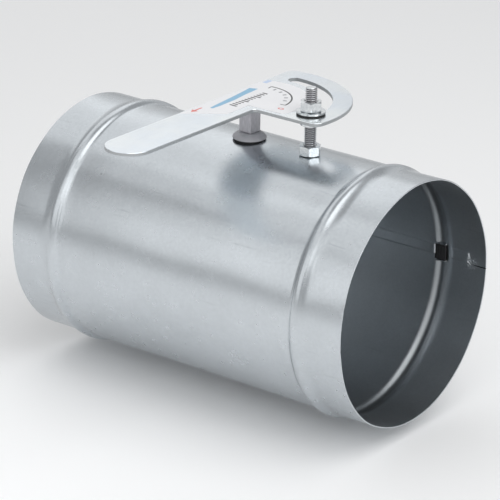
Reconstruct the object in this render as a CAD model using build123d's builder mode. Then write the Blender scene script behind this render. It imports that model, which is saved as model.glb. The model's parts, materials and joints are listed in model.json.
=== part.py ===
from build123d import *

import os
from math import atan, degrees, radians, sin, sqrt, tan

# Manual round duct damper: a beaded sheet casing, a disc blade on a through shaft, and a flat lever whose
# arc slot is clamped on a stud. Millimetres. The duct runs along +X from the inlet spigot's end at the
# origin, +Z is up through the shaft, and the lever points to -Y with the blade closed.

# Duct casing, rolled from galvanised sheet as a male fitting for a 125 mm duct
duct_diameter = 124.0
duct_length = 205.0
wall = 0.6
bead_from_end = 26.2
bead_height = 1.75
bead_crest_radius = 4.6
bead_spigot_run = 7.5
bead_middle_run = 5.0

# Lengthwise seam on the +Y wall: a flat fold inside, a fine butt line outside
seam_width = 5.5
seam_rise = 0.5
seam_start_angle = 0.6
seam_butt_length = 10.0
seam_line_width = 0.6
seam_line_depth = 0.25

# Black mastic plugs where the seam crosses the beads
sealant_width = 6.6
sealant_shift = 1.1
sealant_start_angle = -1.7
sealant_sweep_angle = 7.4
sealant_rise = 0.2

# Shaft: square post over the duct, turned round where it runs inside
post_width = 7.4
post_chamfer = 0.35
tenon_shoulder = 1.0
shaft_diameter = 6.8
shaft_tail = 2.2
shaft_tail_chamfer = 0.6

# Flanged bushes in the top and bottom of the duct, each on a rubber seal
bush_wall = 2.0
bush_lip_overhang = 0.7
bush_lip_thickness = 0.9
bush_hub_margin = 0.25
bush_dome_run = 3.0
bush_dome_height = 2.4
bush_dome_bulge = 0.25
bush_rim_thickness = 0.55
bush_seal_thickness = 0.7
bush_seal_inset = 0.6

# Lower end of the shaft
thrust_washer_rim = 2.6
thrust_washer_thickness = 0.8
clip_groove_depth = 0.8
clip_rim = 2.6
clip_thickness = 0.7
clip_mouth = 4.2

# Blade: a sheet disc with a half-round channel pressed along its diameter, riveted to the shaft
blade_thickness = 0.8
blade_edge_gap = 1.4
blade_bush_gap = 0.8
rivet_diameter = 3.2
rivet_spacing = 36.0
rivet_head_rim = 1.6
rivet_head_height = 1.1
rivet_tail_rim = 0.8
rivet_tail_length = 1.6

# Lever: arm with a round end, and a quarter sector with the arc slot
handle_standoff = 19.2
plate_thickness = 1.8
plate_edge_break = 0.2
arm_width = 24.0
arm_reach = 104.5
sector_rim = 9.75
sector_corner_radius = 5.0
inner_corner_radius = 2.5
slot_travel = 90.0

# Printed label on the lever
label_thickness = 0.15
label_side_margin = 0.7
label_front_margin = 2.0
label_arm_margin = 5.25
label_reach = 42.0
label_end_angle = 39.0
label_washer_gap = 0.6
label_corner_radius = 1.5

# Locking stud with its nuts and washers
stud_offset = 37.1
thread_diameter = 6.0
thread_chamfer = 0.7
stud_projection = 6.8
stud_head_height = 4.0
stud_seal_rim = 3.5
stud_seal_thickness = 0.8
hex_width = 10.0
hex_chamfer_angle = 30.0
nut_height = 5.0
support_nut_height = 4.0
support_nut_turn = 21.0
clamp_nut_turn = 6.0
slot_play = 0.65
clamp_washer_rim = 4.1
clamp_washer_thickness = 0.8
clamp_pad_inset = 0.25
clamp_pad_thickness = 0.8

# Clearances: turning fits, fixed seats, and holes that something passes through
running_clearance = 0.05
seat_gap = 0.05
pass_clearance = 0.2

# Places that follow from the sizes above
duct_radius = duct_diameter / 2
inner_radius = duct_radius - wall
pivot_x = duct_length / 2
stud_x = pivot_x + stud_offset
inlet_bead = (bead_from_end, bead_spigot_run, bead_middle_run)
outlet_bead = (duct_length - bead_from_end, bead_middle_run, bead_spigot_run)

shaft_radius = shaft_diameter / 2
bush_bore_radius = shaft_radius + running_clearance
bush_barrel_radius = bush_bore_radius + bush_wall
bush_lip_radius = bush_barrel_radius + bush_lip_overhang
bush_hub_radius = post_width / sqrt(2) + bush_hub_margin
bush_flange_radius = bush_hub_radius + bush_dome_run
bush_seal_radius = bush_flange_radius - bush_seal_inset
bush_seal_top = duct_radius + bush_seal_thickness
bush_rim_top = bush_seal_top + bush_rim_thickness
bush_hub_top = bush_rim_top + bush_dome_height
bush_lip_top = sqrt(inner_radius**2 - bush_lip_radius**2) - seat_gap
bush_lip_bottom = bush_lip_top - bush_lip_thickness

plate_bottom = duct_radius + handle_standoff
plate_top = plate_bottom + plate_thickness
arm_half = arm_width / 2
slot_width = thread_diameter + 2 * slot_play
sector_radius = stud_offset + slot_width / 2 + sector_rim
tenon_width = post_width - 2 * tenon_shoulder

post_bottom = bush_hub_top + running_clearance
thrust_washer_top = -bush_hub_top - running_clearance
clip_top = thrust_washer_top - thrust_washer_thickness
clip_bottom = clip_top - clip_thickness
shaft_bottom = clip_bottom - shaft_tail
clip_groove_radius = shaft_radius - clip_groove_depth

blade_radius = inner_radius - blade_edge_gap
channel_inner_radius = shaft_radius + seat_gap
channel_outer_radius = channel_inner_radius + blade_thickness
rivet_radius = rivet_diameter / 2
rivet_hole_radius = rivet_radius + seat_gap
rivet_heights = (-rivet_spacing, 0, rivet_spacing)

thread_radius = thread_diameter / 2
nut_bore_radius = thread_radius + running_clearance
stud_hole_radius = thread_radius + pass_clearance
hex_corner_radius = hex_width / sqrt(3)
clamp_washer_radius = stud_hole_radius + clamp_washer_rim
clamp_pad_top = plate_top + clamp_pad_thickness
clamp_washer_top = clamp_pad_top + clamp_washer_thickness
stud_top = clamp_washer_top + nut_height + stud_projection
stud_seal_radius = stud_hole_radius + stud_seal_rim
stud_head_top = sqrt(inner_radius**2 - stud_seal_radius**2) - seat_gap - stud_seal_thickness


def bead_flank(run):
    """Turn and root radius of a bead's flank, which meets the wall and the crest at a tangent."""
    turn = 2 * atan(bead_height / run)
    return degrees(turn), run / sin(turn) - bead_crest_radius


def beaded_line(inset):
    """Lengthwise line of the duct wall, inset from its outer face, over both beads."""
    level = duct_radius - inset
    with BuildLine(mode=Mode.PRIVATE) as run:
        start = (0, level)
        for centre, rise_run, fall_run in (inlet_bead, outlet_bead):
            rise_turn, rise_root = bead_flank(rise_run)
            fall_turn, fall_root = bead_flank(fall_run)
            flat = Line(start, (centre - rise_run, level))
            rise = JernArc(flat @ 1, flat % 1, rise_root + inset, rise_turn)
            crest = JernArc(rise @ 1, rise % 1, bead_crest_radius - inset, -rise_turn - fall_turn)
            fall = JernArc(crest @ 1, crest % 1, fall_root + inset, fall_turn)
            start = fall @ 1
        Line(start, (duct_length, level))
    return run.line


def wall_section(outer_inset, inner_level):
    """Lengthwise section from a line of the duct wall down to a straight line nearer the axis."""
    upper = beaded_line(outer_inset)
    with BuildSketch(mode=Mode.PRIVATE) as section:
        with BuildLine():
            add(upper)
            Polyline(upper @ 1, (duct_length, inner_level), (0, inner_level), upper @ 0)
        make_face()
    return section.sketch


def ring_sector(inner, outer, start_angle, sweep):
    """Piece of a flat ring between two radii, over an angle."""
    with BuildSketch(mode=Mode.PRIVATE) as sector:
        with BuildLine():
            outside = CenterArc((0, 0), outer, start_angle, sweep)
            inside = CenterArc((0, 0), inner, start_angle, sweep)
            Line(outside @ 0, inside @ 0)
            Line(outside @ 1, inside @ 1)
        make_face()
    return sector.sketch


def ring(centre_x, outer, inner, bottom, height):
    """Flat ring about an upright axis at a place along the duct."""
    with BuildPart() as washer:
        with BuildSketch(Plane((centre_x, 0, bottom))):
            Circle(outer)
            Circle(inner, mode=Mode.SUBTRACT)
        extrude(amount=height)
    return washer.part


def hex_prism(bottom, height, turn):
    """Hexagon on the stud's axis, its corners turned off by a cone at each end."""
    face_radius = hex_width / 2
    fall = (hex_corner_radius - face_radius) * tan(radians(hex_chamfer_angle))
    top = bottom + height
    with BuildPart() as prism:
        with BuildSketch(Plane((stud_x, 0, bottom))):
            RegularPolygon(hex_corner_radius, 6, rotation=turn)
        extrude(amount=height)
        with BuildSketch(Plane((stud_x, 0, 0), x_dir=(1, 0, 0), z_dir=(0, -1, 0))):
            with BuildLine():
                Polyline(
                    (0, bottom),
                    (face_radius, bottom),
                    (hex_corner_radius, bottom + fall),
                    (hex_corner_radius, top - fall),
                    (face_radius, top),
                    (0, top),
                    close=True,
                )
            make_face()
        revolve(axis=Axis((stud_x, 0, 0), (0, 0, 1)), mode=Mode.INTERSECT)
    return prism.part


def hex_nut(bottom, height, turn):
    """Hexagon nut on the stud, chamfered on both faces."""
    with BuildPart() as nut:
        add(hex_prism(bottom, height, turn))
        with BuildSketch(Plane((stud_x, 0, bottom))):
            Circle(nut_bore_radius)
        extrude(amount=height, mode=Mode.SUBTRACT)
    return nut.part


# Duct casing: the beaded wall turned about the duct's axis, with the holes for the shaft and the stud
with BuildPart() as duct_casing:
    with BuildSketch(Plane.XZ):
        add(wall_section(0, 0))
    revolve(axis=Axis.X)
    with BuildSketch(Plane.XZ):
        add(wall_section(wall, 0))
    revolve(axis=Axis.X, mode=Mode.SUBTRACT)
    # The seam's fold lies flat on the inner wall, between the beads and short of both ends
    seam_sweep = degrees(seam_width / inner_radius)
    bead_edges = []
    for centre, rise_run, fall_run in (inlet_bead, outlet_bead):
        bead_edges += [centre - rise_run, centre + fall_run]
    fold_ends = [seam_butt_length, *bead_edges, duct_length - seam_butt_length]
    for fold_start, fold_end in zip(fold_ends[0::2], fold_ends[1::2]):
        with BuildSketch(Plane.YZ.offset(fold_start)):
            add(ring_sector(inner_radius - seam_rise, inner_radius + wall / 2, seam_start_angle, seam_sweep))
        extrude(amount=fold_end - fold_start)
    # Butt line of the seam, a fine groove in the straight stretches of the outer wall
    line_ends = [0, *bead_edges, duct_length]
    for line_start, line_end in zip(line_ends[0::2], line_ends[1::2]):
        with BuildSketch(Plane.YZ.offset(line_start)):
            with Locations((duct_radius, 0)):
                Rectangle(2 * seam_line_depth, seam_line_width)
        extrude(amount=line_end - line_start, mode=Mode.SUBTRACT)
    with BuildSketch(Plane.XY):
        with Locations((pivot_x, 0)):
            Circle(bush_barrel_radius + seat_gap)
    extrude(amount=duct_diameter, both=True, mode=Mode.SUBTRACT)
    with BuildSketch(Plane.XY):
        with Locations((stud_x, 0)):
            Circle(stud_hole_radius)
    extrude(amount=duct_diameter, mode=Mode.SUBTRACT)

# Mastic plugs: they fill the beads' hollows across the seam
with BuildPart() as seam_sealant:
    with BuildSketch(Plane.XY.rotated((sealant_start_angle, 0, 0))):
        add(wall_section(wall + seat_gap, inner_radius - sealant_rise))
        plug_places = (bead_from_end + sealant_shift, duct_length - bead_from_end - sealant_shift)
        with Locations(*[(place, inner_radius) for place in plug_places]):
            Rectangle(sealant_width, 4 * bead_height, mode=Mode.INTERSECT)
    revolve(axis=Axis.X, revolution_arc=sealant_sweep_angle)

# Upper bush: barrel through the wall, snap lip inside, domed flange outside
with BuildPart() as upper_bush:
    with BuildSketch(Plane((pivot_x, 0, 0), x_dir=(1, 0, 0), z_dir=(0, -1, 0))):
        with BuildLine():
            dome = SagittaArc((bush_flange_radius, bush_rim_top), (bush_hub_radius, bush_hub_top), -bush_dome_bulge)
            Polyline(
                dome @ 1,
                (bush_bore_radius, bush_hub_top),
                (bush_bore_radius, bush_lip_bottom),
                (bush_barrel_radius, bush_lip_bottom),
                (bush_lip_radius, bush_lip_top),
                (bush_barrel_radius, bush_lip_top),
                (bush_barrel_radius, bush_seal_top),
                (bush_flange_radius, bush_seal_top),
                dome @ 0,
            )
        make_face()
    revolve(axis=Axis((pivot_x, 0, 0), (0, 0, 1)))

# Upper seal: a rubber ring, flat under the flange and saddled on the duct
with BuildPart() as upper_bush_seal:
    add(ring(pivot_x, bush_seal_radius, bush_barrel_radius + seat_gap, inner_radius, bush_seal_top - inner_radius))
    with Locations((pivot_x, 0, 0)):
        Cylinder(duct_radius + seat_gap, duct_length, rotation=(0, 90, 0), mode=Mode.SUBTRACT)

# The lower bush and seal are the same pieces, turned over
with BuildPart() as lower_bush:
    mirror(upper_bush.part, about=Plane.XY)

with BuildPart() as lower_bush_seal:
    mirror(upper_bush_seal.part, about=Plane.XY)

# Shaft: round inside the duct, square post above it, and a tenon peened flush in the lever
with BuildPart() as damper_shaft:
    with BuildSketch(Plane((pivot_x, 0, post_bottom))):
        Rectangle(post_width, post_width)
    extrude(amount=plate_bottom - post_bottom)
    chamfer(damper_shaft.faces().sort_by(Axis.Z)[0].edges(), post_chamfer)
    with BuildSketch(Plane((pivot_x, 0, plate_bottom))):
        Rectangle(tenon_width, tenon_width)
    extrude(amount=plate_thickness)
    with BuildSketch(Plane((pivot_x, 0, shaft_bottom))):
        Circle(shaft_radius)
    extrude(amount=post_bottom - shaft_bottom)
    chamfer(damper_shaft.faces().sort_by(Axis.Z)[0].edges(), shaft_tail_chamfer)
    with BuildSketch(Plane((pivot_x, 0, clip_bottom))):
        Circle(shaft_radius + running_clearance)
        Circle(clip_groove_radius, mode=Mode.SUBTRACT)
    extrude(amount=clip_thickness, mode=Mode.SUBTRACT)
    with BuildSketch(Plane.YZ.offset(pivot_x)):
        with Locations(*[(0, height) for height in rivet_heights]):
            Circle(rivet_hole_radius)
    extrude(amount=shaft_diameter, both=True, mode=Mode.SUBTRACT)

# Blade: flat wings and a half-round channel, cut to a disc and notched clear of the bushes
with BuildPart() as damper_blade:
    with BuildSketch(Plane((pivot_x, 0, -blade_radius))):
        Circle(channel_outer_radius)
        with Locations((-blade_thickness / 2, 0)):
            Rectangle(
                2 * channel_outer_radius,
                2 * channel_outer_radius,
                align=(Align.MIN, Align.CENTER),
                mode=Mode.INTERSECT,
            )
        Rectangle(blade_thickness, 2 * blade_radius)
        Circle(channel_inner_radius, mode=Mode.SUBTRACT)
    extrude(amount=2 * blade_radius)
    with BuildSketch(Plane.YZ.offset(pivot_x)):
        Circle(blade_radius)
        notch_level = bush_lip_bottom - blade_bush_gap
        with Locations((0, notch_level), (0, -notch_level - blade_radius)):
            Rectangle(
                2 * (bush_lip_radius + blade_bush_gap),
                blade_radius,
                align=(Align.CENTER, Align.MIN),
                mode=Mode.SUBTRACT,
            )
        with Locations(*[(0, height) for height in rivet_heights]):
            Circle(rivet_hole_radius, mode=Mode.SUBTRACT)
    extrude(amount=2 * channel_outer_radius, both=True, mode=Mode.INTERSECT)

# Rivets: dome heads on the channel's crest, spread tails on the bare side of the shaft
with BuildPart() as rivet:
    with BuildSketch(Plane((pivot_x, 0, 0), x_dir=(1, 0, 0), z_dir=(0, -1, 0))):
        with BuildLine():
            head_radius = rivet_radius + rivet_head_rim
            tail_radius = rivet_radius + rivet_tail_rim
            tail_end = -shaft_radius - rivet_tail_length
            head_face = channel_outer_radius
            Polyline(
                (head_face + rivet_head_height, 0),
                (tail_end, 0),
                (tail_end, rivet_radius),
                (tail_end + rivet_tail_rim, tail_radius),
                (-shaft_radius, tail_radius),
                (-shaft_radius, rivet_radius),
                (head_face, rivet_radius),
                (head_face, head_radius),
            )
            RadiusArc(
                (head_face, head_radius),
                (head_face + rivet_head_height, 0),
                (head_radius**2 + rivet_head_height**2) / (2 * rivet_head_height),
            )
        make_face()
    revolve(axis=Axis((pivot_x, 0, 0), (1, 0, 0)))

with BuildPart() as blade_rivets:
    with Locations(*[(0, 0, height) for height in rivet_heights]):
        add(rivet.part)

# Lower end of the shaft: a thrust washer under the bush, kept by a clip in the shaft's groove
with BuildPart() as thrust_washer:
    washer_radius = shaft_radius + thrust_washer_rim
    washer_bottom = thrust_washer_top - thrust_washer_thickness
    add(ring(pivot_x, washer_radius, shaft_radius + seat_gap, washer_bottom, thrust_washer_thickness))

with BuildPart() as retaining_clip:
    add(ring(pivot_x, clip_groove_radius + clip_rim, clip_groove_radius + seat_gap, clip_bottom, clip_thickness))
    with BuildSketch(Plane((pivot_x, 0, clip_bottom))):
        Rectangle(2 * shaft_diameter, clip_mouth, align=(Align.MIN, Align.CENTER))
    extrude(amount=clip_thickness, mode=Mode.SUBTRACT)

# Lever: the quarter sector and the arm are one blank, with the arc slot and the tenon's square hole
with BuildPart() as handle_plate:
    with BuildSketch(Plane((pivot_x, 0, plate_bottom))) as blank:
        Circle(sector_radius)
        with Locations((-arm_half, -arm_half)):
            Rectangle(
                2 * sector_radius,
                2 * sector_radius,
                align=(Align.MIN, Align.MIN),
                mode=Mode.INTERSECT,
            )
        fillet(blank.vertices().sort_by(Axis.X)[-1:] + blank.vertices().sort_by(Axis.Y)[-1:], sector_corner_radius)
        with Locations((0, -arm_half)):
            Rectangle(arm_width, arm_reach - arm_width, align=(Align.CENTER, Align.MAX))
        with Locations((0, arm_half - arm_reach)):
            Circle(arm_half)
        inner_corner = blank.vertices().sort_by_distance((arm_half, -arm_half))[0]
        fillet(inner_corner, inner_corner_radius)
        with BuildLine(mode=Mode.PRIVATE) as slot_line:
            CenterArc((0, 0), stud_offset, 0, slot_travel)
        SlotArc(slot_line.edge(), slot_width, mode=Mode.SUBTRACT)
        tenon_hole = tenon_width + 2 * seat_gap
        Rectangle(tenon_hole, tenon_hole, mode=Mode.SUBTRACT)
    extrude(amount=plate_thickness)
    flat_faces = handle_plate.faces().filter_by(Axis.Z)
    chamfer([face.outer_wire().edges() for face in flat_faces], plate_edge_break)

# Label: printed film over the sector inside the slot, running out along the arm to a slanted end
with BuildPart() as scale_label:
    label_radius = stud_offset - clamp_washer_radius - label_washer_gap
    label_side = arm_half - label_side_margin
    label_front = arm_half - label_front_margin
    label_arm_side = arm_half - label_arm_margin
    slant = (label_side + label_arm_side) * tan(radians(label_end_angle))
    with BuildSketch(Plane((pivot_x, 0, plate_top))) as film:
        Circle(label_radius)
        with Locations((-label_side, -label_front)):
            Rectangle(2 * label_radius, 2 * label_radius, align=(Align.MIN, Align.MIN), mode=Mode.INTERSECT)
        fillet(film.vertices().sort_by(Axis.X)[-1:] + film.vertices().sort_by(Axis.Y)[-1:], label_corner_radius)
        with BuildLine():
            Polyline(
                (-label_side, 0),
                (-label_side, -label_reach),
                (label_arm_side, slant - label_reach),
                (label_arm_side, 0),
                close=True,
            )
        make_face()
    extrude(amount=label_thickness)

# Locking stud: a hexagon bolt put through from inside, its head on a rubber washer
with BuildPart() as locking_stud:
    add(hex_prism(stud_head_top - stud_head_height, stud_head_height, 0))
    with BuildSketch(Plane((stud_x, 0, stud_head_top))):
        Circle(thread_radius)
    extrude(amount=stud_top - stud_head_top)
    chamfer(locking_stud.faces().sort_by(Axis.Z)[-1].edges(), thread_chamfer)

with BuildPart() as stud_seal:
    add(ring(stud_x, stud_seal_radius, stud_hole_radius, stud_head_top, duct_radius - stud_head_top))
    with Locations((pivot_x, 0, 0)):
        Cylinder(inner_radius - seat_gap, duct_length, rotation=(0, 90, 0), mode=Mode.INTERSECT)

# Nuts on the stud: one holds it to the duct, one carries the lever, one clamps it
with BuildPart() as base_nut:
    add(hex_nut(duct_radius + seat_gap, nut_height, 0))

with BuildPart() as support_nut:
    add(hex_nut(plate_bottom - support_nut_height, support_nut_height, support_nut_turn))

with BuildPart() as clamp_nut:
    add(hex_nut(clamp_washer_top, nut_height, clamp_nut_turn))

# Clamp washer: a steel ring with a rubber face that grips the lever
with BuildPart() as clamp_washer_pad:
    add(ring(stud_x, clamp_washer_radius - clamp_pad_inset, stud_hole_radius, plate_top, clamp_pad_thickness))

with BuildPart() as clamp_washer:
    add(ring(stud_x, clamp_washer_radius, stud_hole_radius, clamp_pad_top, clamp_washer_thickness))

pieces = {
    "duct_casing": duct_casing,
    "seam_sealant": seam_sealant,
    "upper_bush": upper_bush,
    "upper_bush_seal": upper_bush_seal,
    "lower_bush": lower_bush,
    "lower_bush_seal": lower_bush_seal,
    "damper_shaft": damper_shaft,
    "damper_blade": damper_blade,
    "blade_rivets": blade_rivets,
    "thrust_washer": thrust_washer,
    "retaining_clip": retaining_clip,
    "handle_plate": handle_plate,
    "scale_label": scale_label,
    "locking_stud": locking_stud,
    "stud_seal": stud_seal,
    "base_nut": base_nut,
    "support_nut": support_nut,
    "clamp_washer_pad": clamp_washer_pad,
    "clamp_washer": clamp_washer,
    "clamp_nut": clamp_nut,
}
os.makedirs("parts", exist_ok=True)
for name, piece in pieces.items():
    piece.part.label = name
    export_step(piece.part, f"parts/{name}.step")
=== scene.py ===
import json

import bmesh
import bpy
import numpy as np
from mathutils import Matrix, Vector


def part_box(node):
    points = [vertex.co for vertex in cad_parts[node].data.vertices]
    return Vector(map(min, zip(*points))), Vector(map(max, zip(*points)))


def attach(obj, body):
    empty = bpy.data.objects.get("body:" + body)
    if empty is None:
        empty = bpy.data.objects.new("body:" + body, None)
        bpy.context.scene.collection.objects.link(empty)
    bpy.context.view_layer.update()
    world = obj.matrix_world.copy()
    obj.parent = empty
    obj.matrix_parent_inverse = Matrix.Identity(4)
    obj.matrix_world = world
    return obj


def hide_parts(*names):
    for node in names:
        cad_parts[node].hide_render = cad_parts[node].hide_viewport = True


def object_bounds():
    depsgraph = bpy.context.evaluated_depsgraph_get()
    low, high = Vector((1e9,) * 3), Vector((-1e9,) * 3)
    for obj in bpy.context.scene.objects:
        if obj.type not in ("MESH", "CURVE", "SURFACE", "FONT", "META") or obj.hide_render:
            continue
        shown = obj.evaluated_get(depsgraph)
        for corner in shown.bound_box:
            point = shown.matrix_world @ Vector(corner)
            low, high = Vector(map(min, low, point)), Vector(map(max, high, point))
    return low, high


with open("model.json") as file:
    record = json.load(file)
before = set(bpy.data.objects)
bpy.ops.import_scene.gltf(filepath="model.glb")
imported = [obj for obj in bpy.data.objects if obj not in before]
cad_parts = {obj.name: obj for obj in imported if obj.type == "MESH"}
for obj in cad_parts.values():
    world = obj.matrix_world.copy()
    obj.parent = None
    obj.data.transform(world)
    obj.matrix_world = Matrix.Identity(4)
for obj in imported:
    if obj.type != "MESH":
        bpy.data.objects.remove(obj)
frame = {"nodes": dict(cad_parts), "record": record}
cad_low, cad_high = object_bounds()
nodes = frame["nodes"]

# Duct casing. A strip of hot-dip galvanised steel is rolled into a tube and closed by a flat lengthwise seam
# at the back. A stiffening bead is rolled in near each end, and both ends are left as cut, as male spigots.
mm = 0.001
spigot = frame["record"]["mounts"][0]["dims"]
casing_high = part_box("duct_casing")[1]
duct_length = casing_high.x
duct_radius = spigot["r_mm"] * mm
sheet = 0.6 * mm
cut_edge_break = 0.07 * mm
bead_height = casing_high.z - duct_radius
bead_crest = 4.6 * mm
bead_spigot_run = 7.5 * mm
bead_middle_run = 5.0 * mm
bead_place = spigot["length_mm"] * mm + bead_spigot_run
bead_start = 0.2 * mm
inlet_bead_end = bead_place + bead_middle_run
pivot_x = duct_length / 2
free_end = 9 * mm
fold_rise = np.array([0.4, 0.9]) * mm
fold_fall = np.array([5.8, 6.4]) * mm
fold_reach = np.array([9.5, 10.5]) * mm
fold_depth = 0.5 * mm
weld_from_rim, weld_from_joint = 8.5 * mm, 0.8 * mm
weld_length, weld_width = 3.4 * mm, 3.6 * mm
weld_height = 0.36 * mm
joint_half = 0.26 * mm
joint_depth = 0.45 * mm
joint_reach = np.array([7.0, 10.0]) * mm
fold_line_half = 0.24 * mm
fold_line_depth = 0.25 * mm
sealant_width = 6.6 * mm
sealant_shift = 1.1 * mm
sealant_span = np.radians([-1.7, 5.7])
ridge_half = 0.34 * mm
ridge_clear_angle = 0.008
ridge_top = duct_radius - sheet - 0.25 * mm


def bead_rise(along):
    """Height of a bead's section at a distance from its crest, positive towards the middle of the duct.
    On each side a crest arc and a root arc meet at a tangent."""
    run = np.where(along < 0, bead_spigot_run, bead_middle_run)
    turn = 2 * np.arctan(bead_height / run)
    root = run / np.sin(turn) - bead_crest
    off = np.abs(along)
    crest = bead_height - bead_crest + np.sqrt(np.maximum(bead_crest**2 - off**2, 0))
    foot = np.maximum(run - off, 0)
    flank = root - np.sqrt(np.maximum(root**2 - foot**2, 0))
    return np.where(off < bead_crest * np.sin(turn), crest, flank)


def wall_rise(x):
    """Height of the duct's outer line over its plain radius: a bead near each end."""
    return bead_rise(x - bead_place) + bead_rise(duct_length - bead_place - x)


def soft_step(value, start, end):
    """0 before start, 1 after end, and a smooth cubic between them."""
    share = np.clip((value - start) / (end - start), 0, 1)
    return share * share * (3 - 2 * share)


def dent(x, arc, place, arc_place, width):
    """Bell-shaped hollow of height 1 about a place on the wall."""
    return np.exp(-((x - place) ** 2 + (arc - arc_place) ** 2) / width**2)


def sheet_slack(x, angle):
    """Radial slack of the rolled sheet: shallow waves round and along the duct, more at the free ends."""
    end_share = np.exp(-np.minimum(x, duct_length - x) / free_end)
    waves = 0.10 * np.sin(3 * angle + x / (21 * mm)) + 0.05 * np.sin(7 * angle - x / (11 * mm) + 1.3)
    ends = 0.16 * np.sin(5 * angle + 0.7) + 0.07 * np.sin(13 * angle + x / (40 * mm))
    return mm * (waves * (1 - end_share) + ends * end_share)


def seam_fold(x, arc):
    """Inward step of the seam's fold: a flat strip between the beads and short of both ends."""
    rim_gap = np.minimum(x, duct_length - x)
    strip = soft_step(arc, *fold_rise) * (1 - soft_step(arc, *fold_fall))
    reach = soft_step(rim_gap, *fold_reach)
    beads = 1 - np.clip(wall_rise(x) / bead_start, 0, 1)
    return fold_depth * strip * reach * beads


def seam_crumple(x, arc):
    """Uneven weld marks where the fold ends, a short way in from each rim: crossed ripples in a bell-shaped
    patch."""
    rim_gap = np.minimum(x, duct_length - x)
    off_along = (rim_gap - weld_from_rim) / weld_length
    off_round = (arc - weld_from_joint) / weld_width
    along = np.sin(x / (0.42 * mm) + 1.7 * np.sin(arc / (0.9 * mm)))
    across = np.cos(arc / (0.55 * mm) + x / (0.8 * mm))
    return weld_height * np.exp(-(off_along**2) - off_round**2) * along * across


def turned_up_edges(x, arc):
    """Share of the way that the sheet's cut edges are turned up across a bead's hollow: two narrow ridges
    along the duct, just clear of the sealant on either side of it."""
    from_bead = np.abs(np.minimum(x, duct_length - x) - bead_place - sealant_shift)
    across = 1 - soft_step(from_bead, 0.42 * sealant_width, 0.5 * sealant_width)
    edges = (sealant_span + (-ridge_clear_angle, ridge_clear_angle)) * duct_radius
    ridges = [np.exp(-(((arc - edge) / ridge_half) ** 2)) for edge in edges]
    return across * np.maximum(*ridges)


def grid_piece(name, *grids, close_rows=True, close_columns=True):
    """Mesh of quads over one or more grids of points, each joined edge to edge in the directions that close.
    Points that fall together, as at a pole, become one."""
    points, faces, count = [], [], 0
    for grid in grids:
        rows, columns = grid.shape[:2]
        index = count + np.arange(rows * columns).reshape(rows, columns)
        count += rows * columns
        if close_rows:
            index = np.vstack([index, index[:1]])
        if close_columns:
            index = np.hstack([index, index[:, :1]])
        corners = (index[:-1, :-1], index[1:, :-1], index[1:, 1:], index[:-1, 1:])
        points.append(grid.reshape(-1, 3))
        faces.append(np.stack(corners, axis=-1).reshape(-1, 4))
    mesh = bpy.data.meshes.new(name)
    mesh.from_pydata(np.concatenate(points), [], np.concatenate(faces))
    shape = bmesh.new()
    shape.from_mesh(mesh)
    bmesh.ops.remove_doubles(shape, verts=shape.verts, dist=1e-7)
    bmesh.ops.recalc_face_normals(shape, faces=shape.faces)
    shape.to_mesh(mesh)
    shape.free()
    mesh.shade_smooth()
    piece = bpy.data.objects.new(name, mesh)
    bpy.context.scene.collection.objects.link(piece)
    return piece


def drilled(piece, holes):
    """Cuts upright round holes, each given as (x, radius, lowest z, highest z), and keeps the cut mesh."""
    drills = []
    for x, radius, low, high in holes:
        mesh = bpy.data.meshes.new("drill")
        shape = bmesh.new()
        place = Matrix.Translation((x, 0, (low + high) / 2))
        bmesh.ops.create_cone(
            shape, cap_ends=True, segments=64, radius1=radius, radius2=radius, depth=high - low, matrix=place
        )
        shape.to_mesh(mesh)
        shape.free()
        drill = bpy.data.objects.new("drill", mesh)
        bpy.context.scene.collection.objects.link(drill)
        cut = piece.modifiers.new("hole", "BOOLEAN")
        cut.object = drill
        cut.solver = "EXACT"
        drills.append(drill)
    solid = bpy.data.meshes.new_from_object(piece.evaluated_get(bpy.context.evaluated_depsgraph_get()))
    piece.modifiers.clear()
    piece.data = solid
    for drill in drills:
        bpy.data.objects.remove(drill)
    return piece


fine_end = 14 * mm
half_stations = np.concatenate([
    cut_edge_break + fine_end * np.linspace(0, 1, 44) ** 1.4,
    np.linspace(fine_end + 0.5 * mm, bead_place - bead_spigot_run, 4),
    np.linspace(bead_place - bead_spigot_run, inlet_bead_end, 36)[1:],
    np.linspace(inlet_bead_end, pivot_x, 16)[1:],
])
stations = np.concatenate([half_stations, duct_length - half_stations[-2::-1]])
seam_steps = np.linspace(-1, 1, 71)
seam_zone_degrees = 9
angles = np.concatenate([
    np.radians(seam_zone_degrees) * np.sign(seam_steps) * np.abs(seam_steps) ** 1.5,
    np.radians(np.linspace(seam_zone_degrees, 360 - seam_zone_degrees, 180)[1:-1]),
])
outer_line = np.stack([stations, duct_radius + wall_rise(stations)])
slope = np.gradient(outer_line[1], outer_line[0])
inner_line = outer_line - sheet * np.stack([-slope, np.ones_like(slope)]) / np.hypot(slope, 1)
cut_face = np.array([duct_radius - cut_edge_break, duct_radius - sheet + cut_edge_break])
outlet_cut = np.stack([np.full(2, duct_length), cut_face])
inlet_cut = np.stack([np.zeros(2), cut_face[::-1]])
section = np.hstack([outer_line, outlet_cut, inner_line[:, ::-1], inlet_cut])
is_inner = np.zeros(section.shape[1])
is_inner[len(stations) + 1 : -1] = 1.0

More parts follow.
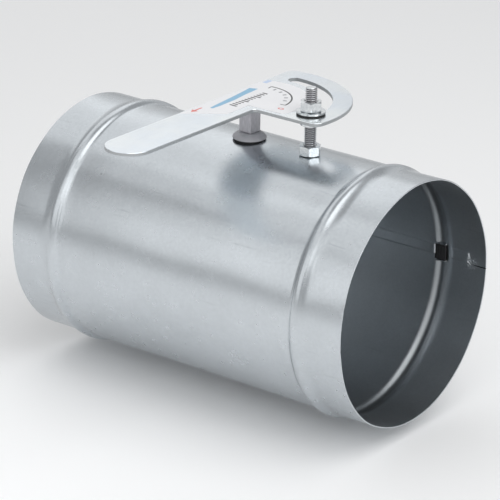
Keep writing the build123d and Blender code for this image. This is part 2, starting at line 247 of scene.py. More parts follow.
x, angle = np.meshgrid(section[0], angles, indexing="ij")
arc = np.angle(np.exp(1j * angle)) * duct_radius
rim_gap = np.minimum(x, duct_length - x)
inside = np.broadcast_to(is_inner[:, None], x.shape)
open_joint = np.exp(-((arc / joint_half) ** 2)) * (1 - soft_step(rim_gap, *joint_reach))
fold_line = np.exp(-((arc / fold_line_half) ** 2)) * (1 - np.clip(wall_rise(x) / bead_start, 0, 1))
front_arc = np.angle(np.exp(1j * (angle - np.pi))) * duct_radius
upper_nick = dent(x, front_arc, duct_length, -15.7 * mm, 1.3 * mm)
lower_nick = dent(x, front_arc, duct_length, 5.5 * mm, 1.1 * mm)
nicks = upper_nick + 1.3 * lower_nick
nick_depth, nick_pull = 0.3 * mm, 0.35 * mm
radius = np.broadcast_to(section[1][:, None], x.shape) + sheet_slack(x, angle)
radius = radius + seam_crumple(x, arc) - nick_depth * nicks
seam_inside = joint_depth * open_joint - seam_fold(x, arc)
radius = radius + np.where(inside > 0, seam_inside, -fold_line_depth * fold_line)
turned_up = turned_up_edges(x, arc) * inside
radius = radius + turned_up * (ridge_top - radius)
x = x - nick_pull * nicks * np.sign(x - pivot_x)
points = np.stack([x, radius * np.cos(angle), radius * np.sin(angle)], axis=-1)
casing = grid_piece("duct_casing_sheet", points)

stud_low, stud_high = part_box("locking_stud")
stud_x = (stud_low.x + stud_high.x) / 2
barrel_hole = 5.5 * mm
stud_hole = 3.2 * mm
drilled(casing, [
    (pivot_x, barrel_hole, duct_radius / 2, duct_radius * 1.5),
    (pivot_x, barrel_hole, -duct_radius * 1.5, -duct_radius / 2),
    (stud_x, stud_hole, duct_radius / 2, duct_radius * 1.5),
])
casing.data.set_sharp_from_angle(angle=np.radians(50))
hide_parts("duct_casing")
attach(casing, "casing")


def linear(code):
    """Linear colour of an sRGB hex value."""
    channel = np.array([int(code[place : place + 2], 16) for place in (1, 3, 5)]) / 255
    dark = channel / 12.92
    light = ((channel + 0.055) / 1.055) ** 2.4
    return (*np.where(channel <= 0.04045, dark, light), 1.0)


def new_material(name, **constants):
    """A material of one Principled shader, with the values that are the same all over the surface."""
    made = bpy.data.materials.new(name)
    made.use_nodes = True
    shader = made.node_tree.nodes["Principled BSDF"]
    for socket, value in constants.items():
        shader.inputs[socket.replace("_", " ")].default_value = value
    return made, made.node_tree, shader


def add(tree, kind, inputs, **settings):
    """Adds a shader node with its settings. inputs gives each socket a value or another node's output."""
    made = tree.nodes.new("ShaderNode" + kind)
    for key, value in settings.items():
        setattr(made, key, value)
    for socket, value in inputs.items():
        if isinstance(value, bpy.types.NodeSocket):
            tree.links.new(value, made.inputs[socket])
        else:
            made.inputs[socket].default_value = value
    return made


# Hot-dip galvanised steel: a satin grey metal with a faint leafy spangle, cloudy patches, small dark specks
# and fine handling streaks. The zinc's crystals differ a little in gloss as well as in grey.
galvanised, tree, shader = new_material("galvanised_steel_sheet", Metallic=1.0)
place = add(tree, "TexCoord", {}).outputs["Object"]
spangle = add(tree, "TexVoronoi", {"Vector": place, "Scale": 1 / (3.2 * mm)}, feature="SMOOTH_F1")
grain = add(tree, "TexNoise", {"Vector": place, "Scale": 1 / (1.3 * mm), "Detail": 3.0})
clouds = add(tree, "TexNoise", {"Vector": place, "Scale": 1 / (30 * mm), "Detail": 4.0, "Roughness": 0.6})
speck_cells = add(tree, "TexVoronoi", {"Vector": place, "Scale": 1 / (9 * mm)})
speck_size = add(tree, "MapRange", {"Value": speck_cells.outputs["Color"], "From Min": 0.6, "From Max": 1.0,
                                    "To Min": 0.0, "To Max": 0.075})
speck = add(tree, "Math", {0: speck_cells.outputs["Distance"], 1: speck_size.outputs[0]},
            operation="LESS_THAN")
drawn = add(tree, "Mapping", {"Vector": place, "Rotation": (0.0, 0.35, 0.2), "Scale": (0.06, 1.0, 1.0)})
streaks = add(tree, "TexNoise", {"Vector": drawn.outputs[0], "Scale": 1 / (1.8 * mm), "Detail": 1.0})
rubbed = add(tree, "MapRange", {"Value": streaks.outputs[0], "From Min": 0.70, "From Max": 0.78,
                                "To Min": 1.0, "To Max": 0.93})
mottle = add(tree, "MapRange", {"Value": grain.outputs[0], "From Min": 0.3, "From Max": 0.7,
                                "To Min": 0.965, "To Max": 1.03})
patch = add(tree, "MapRange", {"Value": clouds.outputs[0], "From Min": 0.3, "From Max": 0.7,
                               "To Min": 0.955, "To Max": 1.03})
leaf = add(tree, "MapRange", {"Value": spangle.outputs["Color"], "To Min": 0.98, "To Max": 1.015})
dirt = add(tree, "MapRange", {"Value": speck.outputs[0], "To Min": 1.0, "To Max": 0.74})
# The inside faces are painted darker than the outside, darkest down in the beads' hollows: painted shade.
# They are also a little rougher than the outside.
radial = add(tree, "VectorMath", {0: place, 1: (0.0, 1.0, 1.0)}, operation="MULTIPLY")
facing = add(tree, "VectorMath", {0: radial.outputs[0], 1: add(tree, "TexCoord", {}).outputs["Normal"]},
             operation="DOT_PRODUCT")
oiled = add(tree, "Math", {0: facing.outputs["Value"], 1: -0.5 * duct_radius}, operation="LESS_THAN")
from_axis = add(tree, "VectorMath", {0: radial.outputs[0]}, operation="LENGTH")
hollow = add(tree, "MapRange", {"Value": from_axis.outputs["Value"], "From Min": duct_radius - sheet,
                                "From Max": duct_radius, "To Min": 0.86, "To Max": 0.5})
film_shade = add(tree, "MapRange", {"Value": oiled.outputs[0], "To Min": 1.0, "To Max": hollow.outputs[0]})
# Near each rim the seam is left open, and the joint between the sheet's two edges is painted near black:
# painted shadow in the gap.
apart = add(tree, "SeparateXYZ", {"Vector": place})
off_seam = add(tree, "Math", {0: apart.outputs[2]}, operation="ABSOLUTE")
on_joint = add(tree, "Math", {0: off_seam.outputs[0], 1: joint_half}, operation="LESS_THAN")
at_back = add(tree, "Math", {0: apart.outputs[1], 1: 0.0}, operation="GREATER_THAN")
from_middle = add(tree, "Math", {0: apart.outputs[0], 1: pivot_x}, operation="SUBTRACT")
off_middle = add(tree, "Math", {0: from_middle.outputs[0]}, operation="ABSOLUTE")
near_rim = add(tree, "Math", {0: off_middle.outputs[0], 1: pivot_x - joint_reach[0]},
               operation="GREATER_THAN")
joint = add(tree, "Math", {0: on_joint.outputs[0], 1: at_back.outputs[0]}, operation="MULTIPLY")
joint = add(tree, "Math", {0: joint.outputs[0], 1: near_rim.outputs[0]}, operation="MULTIPLY")
joint_shade = add(tree, "MapRange", {"Value": joint.outputs[0], "To Min": 1.0, "To Max": 0.06})
tone = mottle
for layer in (patch, leaf, dirt, rubbed, film_shade, joint_shade):
    tone = add(tree, "Math", {0: tone.outputs[0], 1: layer.outputs[0]}, operation="MULTIPLY")
grey = add(tree, "Mix", {0: 1.0, 6: linear("#c9ced2"), 7: tone.outputs[0]},
           data_type="RGBA", blend_type="MULTIPLY")
tree.links.new(grey.outputs[2], shader.inputs["Base Color"])
gloss = add(tree, "MapRange", {"Value": spangle.outputs["Color"], "To Min": 0.255, "To Max": 0.28})
dulled = add(tree, "Math", {0: oiled.outputs[0], 1: 0.10, 2: gloss.outputs[0]}, operation="MULTIPLY_ADD")
tree.links.new(dulled.outputs[0], shader.inputs["Roughness"])
relief = add(tree, "Bump", {"Height": grain.outputs[0], "Distance": 0.008 * mm, "Strength": 1.0})
tree.links.new(relief.outputs[0], shader.inputs["Normal"])
casing.data.materials.clear()
casing.data.materials.append(galvanised)

# Seam sealant. Two plugs of black mastic, pressed into the beads' hollows where the seam crosses them and
# left with the ribs of the tool that wiped them. They set rubbery, with a dull shine.
sealant_rise = 0.2 * mm
sealant_gap = 0.05 * mm
sealant_rib = 1.55 * mm
sealant_rib_height = 0.09 * mm


def sealant_plug(middle):
    """Closed plug over a patch of the bead: each ring of the grid is the section along the duct at one angle,
    from the bead's hollow outside to a ribbed face inside, and each end is closed flat about its middle."""
    across = np.linspace(-0.5, 0.5, 41)
    x = middle + across * sealant_width
    hollow = duct_radius + wall_rise(x) - sheet - sealant_gap
    edge = 1 - np.abs(2 * across) ** 8
    ribs = sealant_rib_height * np.cos(2 * np.pi * (x - middle) / sealant_rib)
    face = duct_radius - sheet - sealant_rise * edge - (ribs - sealant_rib_height) * edge
    ring_x = np.concatenate([x, x[::-1]])
    ring_radius = np.concatenate([np.maximum(hollow, face), face[::-1]])
    share = np.concatenate([[0, 0], np.linspace(0.03, 0.97, 21), [1, 1]])
    swell = np.concatenate([[0, 0.96], np.ones(21), [0.96, 0]])
    angle = sealant_span[0] + share * (sealant_span[1] - sealant_span[0])
    core_x, core_radius = middle, duct_radius - sheet
    x = core_x + (ring_x[:, None] - core_x) * swell
    radius = core_radius + (ring_radius[:, None] - core_radius) * swell
    return np.stack([x, radius * np.cos(angle), radius * np.sin(angle)], axis=-1)


plug_places = (bead_place + sealant_shift, duct_length - bead_place - sealant_shift)
plugs = [sealant_plug(place) for place in plug_places]
sealant = grid_piece("seam_sealant_plugs", *plugs, close_columns=False)
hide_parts("seam_sealant")
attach(sealant, "casing")

# Butyl mastic: near black, dull, with a fine drag in the direction it was wiped.
mastic, tree, shader = new_material("butyl_mastic", Metallic=0.0)
place = add(tree, "TexCoord", {}).outputs["Object"]
drag = add(tree, "TexNoise", {"Vector": place, "Scale": 1 / (0.8 * mm), "Detail": 2.0})
shade = add(tree, "ValToRGB", {"Fac": drag.outputs[0]})
shade.color_ramp.elements[0].color = linear("#0b0b0c")
shade.color_ramp.elements[1].color = linear("#1d1c1e")
tree.links.new(shade.outputs[0], shader.inputs["Base Color"])
dull = add(tree, "MapRange", {"Value": drag.outputs[0], "To Min": 0.35, "To Max": 0.6})
tree.links.new(dull.outputs[0], shader.inputs["Roughness"])
sealant.data.materials.append(mastic)


# Bushes. Moulded grey nylon, one in the top and one in the bottom of the duct: a barrel with a snap lip
# inside the wall and a domed flange outside it.
def finish(node_name, material):
    """Gives a solid of the frame its material."""
    node = nodes[node_name]
    node.data.materials.clear()
    node.data.materials.append(material)


# Nylon 6, moulded: a flat mid grey with a soft shine and the faint unevenness of the mould.
nylon, tree, shader = new_material("grey_nylon", Metallic=0.0)
place = add(tree, "TexCoord", {}).outputs["Object"]
flow = add(tree, "TexNoise", {"Vector": place, "Scale": 1 / (2.5 * mm), "Detail": 4.0})
shade = add(tree, "ValToRGB", {"Fac": flow.outputs[0]})
shade.color_ramp.elements[0].color = linear("#97979b")
shade.color_ramp.elements[1].color = linear("#b2b1b6")
tree.links.new(shade.outputs[0], shader.inputs["Base Color"])
dull = add(tree, "MapRange", {"Value": flow.outputs[0], "To Min": 0.42, "To Max": 0.56})
tree.links.new(dull.outputs[0], shader.inputs["Roughness"])
relief = add(tree, "Bump", {"Height": flow.outputs[0], "Distance": 0.02 * mm, "Strength": 1.0})
tree.links.new(relief.outputs[0], shader.inputs["Normal"])
finish("upper_bush", nylon)
finish("lower_bush", nylon)

# Bush and stud seals. Black rubber rings, flat under the flanges and saddled on the duct, and one under the
# stud's head inside.
# EPDM rubber: black with a slight grey bloom and a dull, even surface.
rubber, tree, shader = new_material("black_rubber", Metallic=0.0)
place = add(tree, "TexCoord", {}).outputs["Object"]
bloom = add(tree, "TexNoise", {"Vector": place, "Scale": 1 / (1.2 * mm), "Detail": 3.0})
shade = add(tree, "ValToRGB", {"Fac": bloom.outputs[0]})
shade.color_ramp.elements[0].color = linear("#0c0c0d")
shade.color_ramp.elements[1].color = linear("#1e1e20")
tree.links.new(shade.outputs[0], shader.inputs["Base Color"])
dull = add(tree, "MapRange", {"Value": bloom.outputs[0], "To Min": 0.55, "To Max": 0.75})
tree.links.new(dull.outputs[0], shader.inputs["Roughness"])
for seal in ("upper_bush_seal", "lower_bush_seal", "stud_seal"):
    finish(seal, rubber)

# Shaft. One steel rod: round inside the duct, milled square above it, with a tenon peened flush in the lever.
# It is left dull from pickling, so the post reads as a flat light grey.
pickled, tree, shader = new_material("pickled_steel", Metallic=1.0)
place = add(tree, "TexCoord", {}).outputs["Object"]
mill = add(tree, "Mapping", {"Vector": place, "Scale": (1.0, 1.0, 0.25)})
streak = add(tree, "TexNoise", {"Vector": mill.outputs[0], "Scale": 1 / (0.9 * mm), "Detail": 4.0})
shade = add(tree, "ValToRGB", {"Fac": streak.outputs[0]})
shade.color_ramp.elements[0].position = 0.3
shade.color_ramp.elements[0].color = linear("#b3b2b7")
shade.color_ramp.elements[1].position = 0.7
shade.color_ramp.elements[1].color = linear("#c9c8cd")
tree.links.new(shade.outputs[0], shader.inputs["Base Color"])
dull = add(tree, "MapRange", {"Value": streak.outputs[0], "To Min": 0.5, "To Max": 0.62})
tree.links.new(dull.outputs[0], shader.inputs["Roughness"])
finish("damper_shaft", pickled)

# Blade. A disc cut from the same galvanised sheet as the duct, with a half-round channel pressed along its
# diameter. The shaft lies in the channel, and three rivets hold it there.
finish("damper_blade", galvanised)

# Handle plate. A blank stamped from steel sheet and plated with bright zinc: an arm with a round end and a
# quarter sector with the arc slot. It sits on the shaft's tenon.
# Bright zinc plate: a pale, faintly blue mirror-like white, softened by the sheet's own rolling grain.
plated, tree, shader = new_material("bright_zinc_sheet", Metallic=1.0)
place = add(tree, "TexCoord", {}).outputs["Object"]
rolled = add(tree, "Mapping", {"Vector": place, "Scale": (1.0, 0.12, 1.0)})
grain = add(tree, "TexNoise", {"Vector": rolled.outputs[0], "Scale": 1 / (1.1 * mm), "Detail": 3.0})
haze = add(tree, "TexNoise", {"Vector": place, "Scale": 1 / (24 * mm), "Detail": 3.0})
shade = add(tree, "ValToRGB", {"Fac": haze.outputs[0]})
shade.color_ramp.elements[0].position = 0.3
shade.color_ramp.elements[0].color = linear("#e2e9f0")
shade.color_ramp.elements[1].position = 0.7
shade.color_ramp.elements[1].color = linear("#ecf0f1")
gloss = add(tree, "MapRange", {"Value": grain.outputs[0], "From Min": 0.3, "From Max": 0.7,
                               "To Min": 0.16, "To Max": 0.26})
# The sheared edges broke rough before plating, so they are duller than the faces; they are also painted a
# darker grey than the faces: painted shade.
upward = add(tree, "SeparateXYZ", {"Vector": add(tree, "TexCoord", {}).outputs["Normal"]}).outputs[2]
level = add(tree, "Math", {0: upward}, operation="ABSOLUTE")
sheared = add(tree, "MapRange", {"Value": level.outputs[0], "From Min": 0.2, "From Max": 0.6,
                                 "To Min": 1.0, "To Max": 0.0})
blank = add(tree, "Mix", {0: sheared.outputs[0], 6: shade.outputs[0], 7: linear("#b2b5b7")}, data_type="RGBA")
tree.links.new(blank.outputs[2], shader.inputs["Base Color"])
torn = add(tree, "Math", {0: sheared.outputs[0], 1: 0.3, 2: gloss.outputs[0]}, operation="MULTIPLY_ADD")
tree.links.new(torn.outputs[0], shader.inputs["Roughness"])
relief = add(tree, "Bump", {"Height": grain.outputs[0], "Distance": 0.004 * mm, "Strength": 1.0})
tree.links.new(relief.outputs[0], shader.inputs["Normal"])
finish("handle_plate", plated)

# Scale label. A die-cut polyester film, stuck on the lever inside the slot with its own adhesive. It runs out
# along the arm to a slanted end.
# Matt polyester film: a very light neutral grey with a low, even sheen.
film, tree, shader = new_material("matt_polyester_film", Metallic=0.0)
place = add(tree, "TexCoord", {}).outputs["Object"]
haze = add(tree, "TexNoise", {"Vector": place, "Scale": 1 / (9 * mm), "Detail": 3.0})
shade = add(tree, "ValToRGB", {"Fac": haze.outputs[0]})
shade.color_ramp.elements[0].color = linear("#e3e3e6")
shade.color_ramp.elements[1].color = linear("#ebebec")
tree.links.new(shade.outputs[0], shader.inputs["Base Color"])
dull = add(tree, "MapRange", {"Value": haze.outputs[0], "To Min": 0.34, "To Max": 0.46})
tree.links.new(dull.outputs[0], shader.inputs["Roughness"])
finish("scale_label", film)

# Print on the label. Screen-printed inks, a few hundredths of a millimetre thick: a scale arc with its ticks,
# a blue wedge along the arm, a row of fine bars, a pale blue bar, a red arrow and a red zero. Sizes and
# places here are in millimetres, from the pivot.
label_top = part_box("scale_label")[1].z
ink_thickness = 0.03 * mm
ink_sink = 0.02 * mm


def ink_ring(first_edge, second_edge):
    """Flat box section carried along two lines of points on the label."""
    first, second = np.asarray(first_edge, float) * mm, np.asarray(second_edge, float) * mm
    low, high = label_top - ink_sink, label_top + ink_thickness
    corners = [(first, high), (second, high), (second, low), (first, low)]
    lines = []
    for edge, z in corners:
        lines.append(np.column_stack([edge[:, 0] + pivot_x, edge[:, 1], np.full(len(edge), z)]))
    return np.stack(lines, axis=1)


def ink_strip(first_edge, second_edge):
    """Thin strip of ink between two lines: each end is closed by drawing the last section in to a point."""
    grid = ink_ring(first_edge, second_edge)
    ends = grid[[0, -1]].mean(axis=1, keepdims=True).repeat(4, axis=1)
    return np.concatenate([ends[:1], grid, ends[1:]])


def ink_arc(radius, width, start, end, steps=49):
    """Strip of even width along an arc about the pivot, from one angle to another, anticlockwise from +X."""
    angle = np.radians(np.linspace(start, end, steps))
    ray = np.column_stack([np.cos(angle), np.sin(angle)])
    return ink_strip((radius + width / 2) * ray, (radius - width / 2) * ray)


def ink_bar(start, end, width):
    """Straight strip of even width from one point to another."""
    start, end = np.array(start, float), np.array(end, float)
    along = (end - start) / np.hypot(*(end - start))
    side = np.array([along[1], -along[0]]) * width / 2
    line = np.array([start, end])
    return ink_strip(line + side, line - side)


def ink_ray(radius, length, angle, width):
    """Straight strip that points at the pivot, inwards from a radius."""
    ray = np.array([np.cos(np.radians(angle)), np.sin(np.radians(angle))])
    return ink_bar((radius - length) * ray, radius * ray, width)


def printed(name, ink, *strips, looped=False):
    """A printed mark of one ink, riding with the lever. A looped strip runs back into its own start."""
    mark = grid_piece(name, *strips, close_rows=looped)
    mark.data.materials.append(ink)
    mark.data.set_sharp_from_angle(angle=np.radians(30))
    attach(mark, "lever")


def ink_material(name, thin, full):
    """Screen ink: a colour a little thinner where the screen's mesh left less, with a satin surface."""
    ink, tree, shader = new_material(name, Metallic=0.0, Roughness=0.42)
    place = add(tree, "TexCoord", {}).outputs["Object"]
    screen = add(tree, "TexNoise", {"Vector": place, "Scale": 1 / (0.7 * mm), "Detail": 2.0})
    shade = add(tree, "ValToRGB", {"Fac": screen.outputs[0]})
    shade.color_ramp.elements[0].position = 0.3
    shade.color_ramp.elements[0].color = linear(thin)
    shade.color_ramp.elements[1].position = 0.7
    shade.color_ramp.elements[1].color = linear(full)
    tree.links.new(shade.outputs[0], shader.inputs["Base Color"])
    return ink


black_ink = ink_material("black_screen_ink", "#3d3d40", "#29292b")
grey_ink = ink_material("grey_screen_ink", "#7c7d83", "#606168")
blue_ink = ink_material("blue_screen_ink", "#8dbbd6", "#7aadcd")
pale_blue_ink = ink_material("pale_blue_screen_ink", "#c6d3e8", "#b6c8e4")
red_ink = ink_material("red_screen_ink", "#df8a86", "#d4605a")

scale_radius, scale_line = 20.5, 0.8
scale_ends = (4, 97)
end_mark_length, end_mark_line = 2.9, 0.6
end_marks = [ink_ray(scale_radius, end_mark_length, angle, end_mark_line) for angle in scale_ends]
printed("label_scale_arc", black_ink, ink_arc(scale_radius, scale_line, *scale_ends), *end_marks)
tick_radius, tick_length, tick_line = 18.5, 1.9, 0.95
tick_angles = np.linspace(23, 84, 5)
ticks = [ink_ray(tick_radius, tick_length, angle, tick_line) for angle in tick_angles]
printed("label_scale_ticks", grey_ink, *ticks)

wedge_left = [(-5.2, -25.2), (-6.0, -18), (-7.2, -6), (-8.1, 2), (-9.4, 11.6)]
wedge_right = [(-3.7, -25.6), (-3.2, -20), (-3.5, -8), (-4.6, 1), (-5.4, 13.2)]
printed("label_wedge", blue_ink, ink_strip(wedge_right, wedge_left))
pale_bar_x, pale_bar_ends, pale_bar_width = -8.9, (23.0, 28.0), 2.6
pale_bar_start, pale_bar_end = [(pale_bar_x, end) for end in pale_bar_ends]
printed("label_pale_bar", pale_blue_ink, ink_bar(pale_bar_start, pale_bar_end, pale_bar_width))

row_start, row_end = np.array((-0.9, -15.2)), np.array((0.2, 9.6))
row_count, long_every = 12, 4
long_bar, short_bar, bar_line = 4.3, 3.1, 1.05
row_bars = []
for bar in range(row_count):
    foot = row_start + (row_end - row_start) * bar / (row_count - 1)
    length = long_bar if bar % long_every == 0 else short_bar
    row_bars.append(ink_bar(foot, foot + (length, 0), bar_line))
printed("label_bar_row", black_ink, *row_bars)

arrow_x = -8.2
arrow_tail, arrow_neck, arrow_tip = -28.0, -33.2, -36.4
arrow_line, barb_half, tip_half = 1.0, 1.9, 0.05
arrow_shaft = ink_bar((arrow_x, arrow_tail), (arrow_x, arrow_neck), arrow_line)
arrow_head = ink_strip(
    [(arrow_x + barb_half, arrow_neck), (arrow_x + tip_half, arrow_tip)],
    [(arrow_x - barb_half, arrow_neck), (arrow_x - tip_half, arrow_tip)],
)
printed("label_arrow", red_ink, arrow_shaft, arrow_head)

zero_middle = np.array((22.0, -4.1))
zero_half_length, zero_half_width, zero_eye = 1.7, 1.15, 0.6
zero_turn = np.linspace(0, 2 * np.pi, 32, endpoint=False)
zero_line = np.column_stack([zero_half_length * np.cos(zero_turn), zero_half_width * np.sin(zero_turn)])
zero_strip = ink_ring(zero_middle + zero_line, zero_middle + zero_eye * zero_line)
printed("label_zero", red_ink, zero_strip, looped=True)


# Locking stud. A zinc-plated M6 hexagon bolt put through the duct from inside, its thread standing up through
# the lever's slot. Its thread is coloured darker towards the roots of the grooves.
thread_radius = 3.0 * mm
thread_root = 2.387 * mm
thread_pitch = 1.0 * mm
thread_chamfer = 0.7 * mm
head_height = 4.0 * mm
hex_apothem = 5.0 * mm
hex_corner = 0.45 * mm
hex_chamfer = np.tan(np.radians(30))
hex_face = 0.95 * hex_apothem
root_flat, flank_share = 0.25, 0.625


def hexagon(angle, apothem):
    """Distance from the centre to a hexagon with a corner at angle 0, its corners rounded by small arcs."""
    from_corner = (angle + np.pi / 6) % (np.pi / 3) - np.pi / 6
    arc_centre = (apothem - hex_corner) / np.cos(np.pi / 6)
    flat = apothem / np.cos(np.pi / 6 - np.abs(from_corner))
    across = np.minimum(arc_centre * np.abs(np.sin(from_corner)), hex_corner)
    rounded = arc_centre * np.cos(from_corner) + np.sqrt(hex_corner**2 - across**2)
    tangent = np.arctan((apothem - hex_corner) * np.tan(np.pi / 6) / apothem)
    return np.where(np.pi / 6 - np.abs(from_corner) > tangent, rounded, flat)


def hexagon_rows(angle, top, bottom, face_radius):
    """Outside of a hexagon bar with both ends coned by a turning tool: rows of radius and height."""
    radius = hexagon(angle, hex_apothem)
    drop = hex_chamfer * np.maximum(radius - face_radius, 0)
    heights = np.concatenate([top - drop[None], bottom + drop[None]])
    face = np.full_like(radius, face_radius)[None]
    radii = np.concatenate([face, radius[None], radius[None], face])
    return radii, np.concatenate([np.full_like(face, top), heights, np.full_like(face, bottom)])


def thread_depth(height, angle):
    """Share of the thread's depth at a height and angle: 1 on the crest's flat and 0 on the root's flat, with
    straight flanks between, and the whole wound once round in each pitch."""
    share = (height / thread_pitch - angle / (2 * np.pi)) % 1
    from_root = 1 - np.abs(2 * share - 1)
    return np.clip((from_root - root_flat) / flank_share, 0, 1)


stud_turn = np.linspace(0, 2 * np.pi, 72, endpoint=False)
head_top = stud_low.z + head_height
rows_per_turn = 14
thread_turns = (stud_high.z - head_top) / thread_pitch
thread_heights = np.linspace(stud_high.z, head_top, int(thread_turns * rows_per_turn))
height, angle = np.meshgrid(thread_heights, stud_turn, indexing="ij")
depth = thread_depth(height, angle)
tip = thread_radius - thread_chamfer + (stud_high.z - height)
threads = np.minimum(thread_root + (thread_radius - thread_root) * depth, tip)
head_radii, head_heights = hexagon_rows(stud_turn, head_top, stud_low.z, hex_face)
still = np.zeros((1, len(stud_turn)))
radius = np.concatenate([still, threads, head_radii, still])
height = np.concatenate([still + stud_high.z, height, head_heights, still + stud_low.z])
stud_points = np.stack([stud_x + radius * np.cos(stud_turn), radius * np.sin(stud_turn), height], axis=-1)
stud = grid_piece("locking_stud_thread", stud_points, close_rows=False)
stud.data.set_sharp_from_angle(angle=np.radians(28))
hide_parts("locking_stud")
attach(stud, "casing")

# Bright zinc on turned steel: a white metal, a little uneven in its grey and its gloss.
hardware, tree, shader = new_material("bright_zinc_hardware", Metallic=1.0)
place = add(tree, "TexCoord", {}).outputs["Object"]
wear = add(tree, "TexNoise", {"Vector": place, "Scale": 1 / (1.5 * mm), "Detail": 3.0})
shade = add(tree, "ValToRGB", {"Fac": wear.outputs[0]})
shade.color_ramp.elements[0].position = 0.3
shade.color_ramp.elements[0].color = linear("#c9cdd0")
shade.color_ramp.elements[1].position = 0.7
shade.color_ramp.elements[1].color = linear("#e2e5e6")
tree.links.new(shade.outputs[0], shader.inputs["Base Color"])
gloss = add(tree, "MapRange", {"Value": wear.outputs[0], "To Min": 0.14, "To Max": 0.28})
tree.links.new(gloss.outputs[0], shader.inputs["Roughness"])

# Zinc thread: bright on the crests, coloured darker and duller towards the roots of the grooves.
greased, tree, shader = new_material("zinc_thread_darker_at_roots", Metallic=1.0)
place = add(tree, "TexCoord", {}).outputs["Object"]
apart = add(tree, "SeparateXYZ", {"Vector": place})
from_axis_x = add(tree, "Math", {0: apart.outputs[0], 1: stud_x}, operation="SUBTRACT")
across = add(tree, "CombineXYZ", {0: from_axis_x.outputs[0], 1: apart.outputs[1]})
from_axis = add(tree, "VectorMath", {0: across.outputs[0]}, operation="LENGTH")
crest = add(tree, "MapRange", {"Value": from_axis.outputs["Value"],
                               "From Min": thread_root, "From Max": thread_radius})
shade = add(tree, "ValToRGB", {"Fac": crest.outputs[0]})
shade.color_ramp.elements[0].color = linear("#66666a")
shade.color_ramp.elements[1].color = linear("#ededef")
tree.links.new(shade.outputs[0], shader.inputs["Base Color"])
gloss = add(tree, "MapRange", {"Value": crest.outputs[0], "To Min": 0.5, "To Max": 0.24})
tree.links.new(gloss.outputs[0], shader.inputs["Roughness"])
stud.data.materials.append(greased)
# The stud's cut end and its chamfer are the plain bright zinc of the nuts.
stud.data.materials.append(hardware)
face_places = np.empty(3 * len(stud.data.polygons))
stud.data.polygons.foreach_get("center", face_places)
bare_end = face_places[2::3] > stud_high.z - 0.5 * thread_chamfer
stud.data.polygons.foreach_set("material_index", bare_end.astype(np.int32))

# Nuts. Three zinc-plated M6 hexagon nuts, pressed from steel with both faces coned: one holds the stud to the
# duct, one carries the lever and one clamps it.
nut_bore = 3.05 * mm
nut_countersink = 3.5 * mm


def hexagon_nut(name, node, turn, body):
    """Hexagon bar coned at both ends, with a countersunk bore: rows down the outside and back up the bore."""
    low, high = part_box(node)
    angle = np.linspace(0, 2 * np.pi, 144, endpoint=False)
    radii, heights = hexagon_rows(angle, high.z, low.z, hex_face)
    sink = nut_countersink - nut_bore
    bore_radii = (nut_countersink, nut_bore, nut_bore, nut_countersink)
    bore_heights = (low.z, low.z + sink, high.z - sink, high.z)
    even = np.ones_like(angle)
    radius = np.concatenate([radii, np.outer(bore_radii, even)])
    height = np.concatenate([heights, np.outer(bore_heights, even)])
    spin = angle + np.radians(turn)
    nut = grid_piece(name, np.stack([stud_x + radius * np.cos(spin), radius * np.sin(spin), height], axis=-1))
    nut.data.set_sharp_from_angle(angle=np.radians(25))
    nut.data.materials.append(hardware)
    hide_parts(node)
    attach(nut, body)


hexagon_nut("base_nut_zinc", "base_nut", 0, "casing")
hexagon_nut("support_nut_zinc", "support_nut", 21, "casing")
hexagon_nut("clamp_nut_zinc", "clamp_nut", 6, "clamp_nut")

# Clamp washer. A stamped ring of zinc-plated steel with a black rubber face bonded under it. The clamp nut
# presses it on the lever, and the rubber grips.
finish("clamp_washer", hardware)
finish("clamp_washer_pad", rubber)

# Small steel on the shaft. Three zinc-plated rivets hold the blade, and a thrust washer and a spring clip in
# a turned groove keep the shaft's lower end in its bush.
for node_name in ("blade_rivets", "thrust_washer", "retaining_clip"):
    finish(node_name, hardware)

# Stage. A plain pale paper floor just under the lowest point, a soft pale world, a ring of soft lamps, which
# the metal mirrors as bands of light, and the camera at the photograph's angle.
floor_level = cad_low.z - 0.2 * mm
floor_reach = np.array([-6.0, 6.0])
floor_y, floor_x = np.meshgrid(floor_reach, floor_reach[::-1], indexing="ij")
floor_points = np.stack([floor_x, floor_y, np.full_like(floor_x, floor_level)], axis=-1)
floor = grid_piece("studio_floor", floor_points, close_rows=False, close_columns=False)
# Matt paper: an even white without shine, which keeps a soft shadow.
paper, tree, shader = new_material("matt_paper", Base_Color=linear("#fcfcfc"), Roughness=0.9)
floor.data.materials.append(paper)

world = bpy.data.worlds.new("soft_studio")
bpy.context.scene.world = world
world.use_nodes = True
world.node_tree.nodes["Background"].inputs["Color"].default_value = (0.97, 0.985, 1.0, 1.0)
world.node_tree.nodes["Background"].inputs["Strength"].default_value = 0.45

target = Vector((pivot_x, 0, 0))


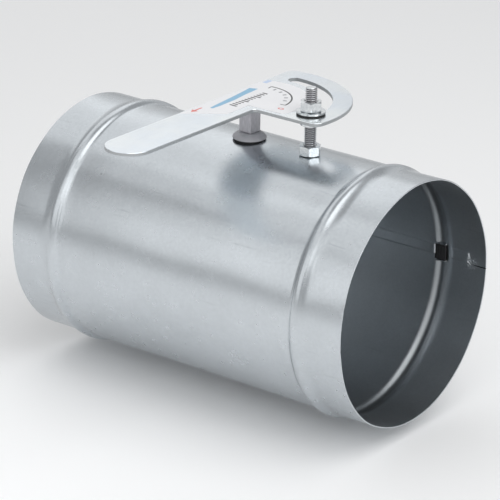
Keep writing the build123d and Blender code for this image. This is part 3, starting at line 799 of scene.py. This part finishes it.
def soft_lamp(name, azimuth, elevation, distance, width, height, radiance):
    """Rectangular soft lamp facing the object, placed by its direction in degrees, with azimuth 0 at +Y and
    90 at +X, and by its distance. Its radiance is how bright the metal mirrors it."""
    azimuth, elevation = np.radians([azimuth, elevation])
    level_x, level_y = np.sin(azimuth), np.cos(azimuth)
    towards = Vector((level_x * np.cos(elevation), level_y * np.cos(elevation), np.sin(elevation)))
    data = bpy.data.lights.new(name, "AREA")
    data.shape = "RECTANGLE"
    data.size, data.size_y = width, height
    data.energy = radiance * width * height * np.pi
    lamp = bpy.data.objects.new(name, data)
    lamp.location = target + distance * towards
    lamp.rotation_euler = towards.to_track_quat("Z", "Y").to_euler()
    bpy.context.scene.collection.objects.link(lamp)


# The main light from above, and the lamps that the nuts and the beads' flanks mirror towards the camera.
soft_lamp("overhead_lamp", 90, 60, 1.0, 0.9, 0.9, 1.4)
soft_lamp("front_flank_lamp", 168, 42, 1.2, 0.6, 0.7, 0.5)
soft_lamp("right_low_lamp", 98, 22, 1.2, 0.4, 0.3, 1.8)
soft_lamp("camera_side_panel", 124, 25, 1.8, 2.2, 1.6, 0.8)
# Lamps that the duct's wall mirrors as bands along its length, from its top down to its front.
soft_lamp("back_low_lamp", -37, 20, 1.7, 1.6, 0.8, 0.26)
soft_lamp("back_left_lamp", -62, 45, 1.6, 1.6, 1.2, 0.58)
soft_lamp("back_left_near_lamp", -44, 51, 0.55, 0.22, 0.3, 0.15)
soft_lamp("left_near_lamp", -147, 59, 0.47, 0.36, 0.24, 0.5)
soft_lamp("front_left_near_lamp", -163, 23, 0.47, 0.40, 0.32, 0.58)
soft_lamp("front_left_lamp", -141, 16, 1.6, 0.7, 0.5, 0.12)

scene = bpy.context.scene
scene.view_settings.view_transform = "Standard"
camera_data = bpy.data.cameras.new("camera")
camera_data.sensor_width = 36.0
camera_data.lens = 210.63
camera_data.clip_end = 20.0
camera = bpy.data.objects.new("camera", camera_data)
scene.collection.objects.link(camera)
scene.camera = camera
view_azimuth, view_elevation, view_roll = np.radians([37.286, 21.274, -1.046])
forward = Vector((
    -np.sin(view_azimuth) * np.cos(view_elevation),
    np.cos(view_azimuth) * np.cos(view_elevation),
    -np.sin(view_elevation),
))
level = Vector((np.cos(view_azimuth), np.sin(view_azimuth), 0))
down = forward.cross(level)
right = np.cos(view_roll) * level + np.sin(view_roll) * down
up = np.sin(view_roll) * level - np.cos(view_roll) * down
camera_place = Vector((0.9326, -1.0882, 0.5355))
camera_turn = Matrix((right, up, -forward)).transposed().to_4x4()
camera.matrix_world = Matrix.Translation(camera_place) @ camera_turn
